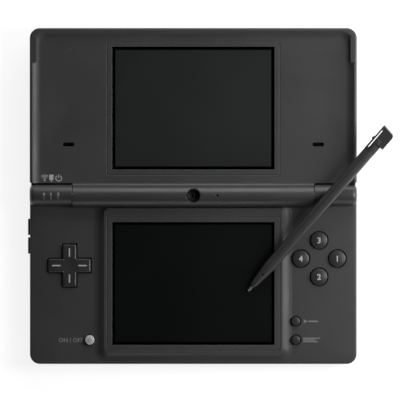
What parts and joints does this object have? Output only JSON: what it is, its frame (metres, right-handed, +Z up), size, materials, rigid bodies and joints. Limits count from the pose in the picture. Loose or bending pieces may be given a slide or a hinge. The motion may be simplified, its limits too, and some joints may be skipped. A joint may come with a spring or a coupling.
{
  "type": "clamshell handheld game console",
  "caption": "Clamshell handheld game console with two screens, friction hinge, direction cross, pressing buttons and a stylus, opened flat.",
  "frame": {"origin": "on the table plane at the underside, straight below the middle of the hinge axis", "axes": "+X to the right along the hinge, +Y from the front edge towards the lid's far edge, +Z up"},
  "size_m": [0.1528, 0.1408, 0.0252],
  "materials": {
    "case_grey": "fine-grained matte dark grey plastic",
    "button_grey": "satin dark grey plastic",
    "power_silver": "silver-painted plastic",
    "nib_grey": "pale grey plastic",
    "touch_black": "dark matt touch panel",
    "lcd": "dark display module",
    "lens": "dark tinted cover lens",
    "light_pale": "pale translucent plastic",
    "rubber_black": "black rubber",
    "steel": "plain steel",
    "battery_can": "wrapped battery pouch",
    "board": "printed circuit board",
    "component_black": "black component plastic",
    "flex_amber": "amber flexible circuit"
  },
  "bodies": {
    "base": {"lower_face_shell": "case_grey", "lower_base_shell": "case_grey", "battery_cover": "case_grey", "battery_cover_screws": "steel", "case_screws": "steel", "battery": "battery_can", "battery_contacts": "steel", "main_board": "board", "board_shields": "steel", "wifi_module": "board", "touch_lcd": "lcd", "touch_panel": "touch_black", "card_slot": "steel", "card_contacts": "steel", "sd_slot": "steel", "headphone_jack": "component_black", "charge_socket": "steel", "stylus_holder": "case_grey", "shoulder_switches": "component_black", "volume_switches": "component_black", "button_domes": "rubber_black", "light_guides": "light_pale", "hinge_pin": "steel", "clutch_shaft": "steel"},
    "lid": {"lid_face_shell": "case_grey", "lid_back_shell": "case_grey", "lid_lcd": "lcd", "lid_lens": "lens", "speaker_left": "component_black", "speaker_right": "component_black", "speaker_meshes": "component_black", "inner_camera": "lens", "camera_ring": "steel", "microphone": "component_black", "outer_camera": "component_black", "outer_camera_window": "lens", "display_flex": "flex_amber", "lid_bumpers": "rubber_black", "lid_screws": "steel", "lid_screw_covers": "case_grey", "lid_magnet": "steel", "hinge_clutch": "steel"},
    "stylus": {"stylus_shaft": "case_grey", "stylus_cap": "case_grey", "stylus_nib": "nib_grey"},
    "sd_door": {"sd_door": "case_grey"},
    "shoulder_left": {"shoulder_left": "case_grey"},
    "shoulder_right": {"shoulder_right": "case_grey"},
    "volume_up": {"volume_up": "case_grey"},
    "volume_down": {"volume_down": "case_grey"},
    "cross_pivot": {"cross_pivot": "rubber_black"},
    "direction_cross": {"direction_cross": "button_grey"},
    "button_1": {"button_1": "button_grey"},
    "button_2": {"button_2": "button_grey"},
    "button_3": {"button_3": "button_grey"},
    "button_4": {"button_4": "button_grey"},
    "start_button": {"start_button": "button_grey"},
    "select_button": {"select_button": "button_grey"},
    "power_button": {"power_button": "power_silver"}
  },
  "joints": [
    {"name": "lid_hinge", "type": "hinge", "parent": "base", "child": "lid", "pos_m": [0, 0, 0.0115], "axis": [1, 0, 0], "range_deg": [0, 180]},
    {"name": "stylus_lift", "type": "slide", "parent": "base", "child": "stylus", "axis": [0.9659, 0, 0.2588], "range_m": [0, 0.0661]},
    {"name": "button_1_press", "type": "slide", "parent": "base", "child": "button_1", "axis": [0, 0, -1], "range_m": [0, 0.0006], "stiffness_N_per_m": 800},
    {"name": "button_2_press", "type": "slide", "parent": "base", "child": "button_2", "axis": [0, 0, -1], "range_m": [0, 0.0006], "stiffness_N_per_m": 800},
    {"name": "button_3_press", "type": "slide", "parent": "base", "child": "button_3", "axis": [0, 0, -1], "range_m": [0, 0.0006], "stiffness_N_per_m": 800},
    {"name": "button_4_press", "type": "slide", "parent": "base", "child": "button_4", "axis": [0, 0, -1], "range_m": [0, 0.0006], "stiffness_N_per_m": 800},
    {"name": "start_button_press", "type": "slide", "parent": "base", "child": "start_button", "axis": [0, 0, -1], "range_m": [0, 0.0006], "stiffness_N_per_m": 800},
    {"name": "select_button_press", "type": "slide", "parent": "base", "child": "select_button", "axis": [0, 0, -1], "range_m": [0, 0.0006], "stiffness_N_per_m": 800},
    {"name": "power_button_press", "type": "slide", "parent": "base", "child": "power_button", "axis": [0, 0, -1], "range_m": [0, 0.0006], "stiffness_N_per_m": 800},
    {"name": "cross_tilt_x", "type": "hinge", "parent": "base", "child": "cross_pivot", "pos_m": [-0.0519, -0.0291, 0.0072], "axis": [1, 0, 0], "range_deg": [-3, 3], "stiffness_Nm_per_rad": 0.12},
    {"name": "cross_tilt_y", "type": "hinge", "parent": "cross_pivot", "child": "direction_cross", "pos_m": [-0.0519, -0.0291, 0.0072], "axis": [0, 1, 0], "range_deg": [-3, 3], "stiffness_Nm_per_rad": 0.12},
    {"name": "sd_door_hinge", "type": "hinge", "parent": "base", "child": "sd_door", "pos_m": [0.068, -0.021, 0.0025], "axis": [0, 1, 0], "range_deg": [0, 90]},
    {"name": "shoulder_right_press", "type": "hinge", "parent": "base", "child": "shoulder_right", "pos_m": [0.0528, 0.001, 0.004], "axis": [0, 0, -1], "range_deg": [0, 2.5], "stiffness_Nm_per_rad": 0.5},
    {"name": "shoulder_left_press", "type": "hinge", "parent": "base", "child": "shoulder_left", "pos_m": [-0.0528, 0.001, 0.004], "axis": [0, 0, 1], "range_deg": [0, 2.5], "stiffness_Nm_per_rad": 0.5},
    {"name": "volume_up_press", "type": "slide", "parent": "base", "child": "volume_up", "axis": [1, 0, 0], "range_m": [0, 0.0004], "stiffness_N_per_m": 2000},
    {"name": "volume_down_press", "type": "slide", "parent": "base", "child": "volume_down", "axis": [1, 0, 0], "range_m": [0, 0.0004], "stiffness_N_per_m": 2000}
  ],
  "couplings": [
    {"joint": "stylus_lift", "follows": "lid_hinge", "m_per_rad": 0.021}
  ]
}
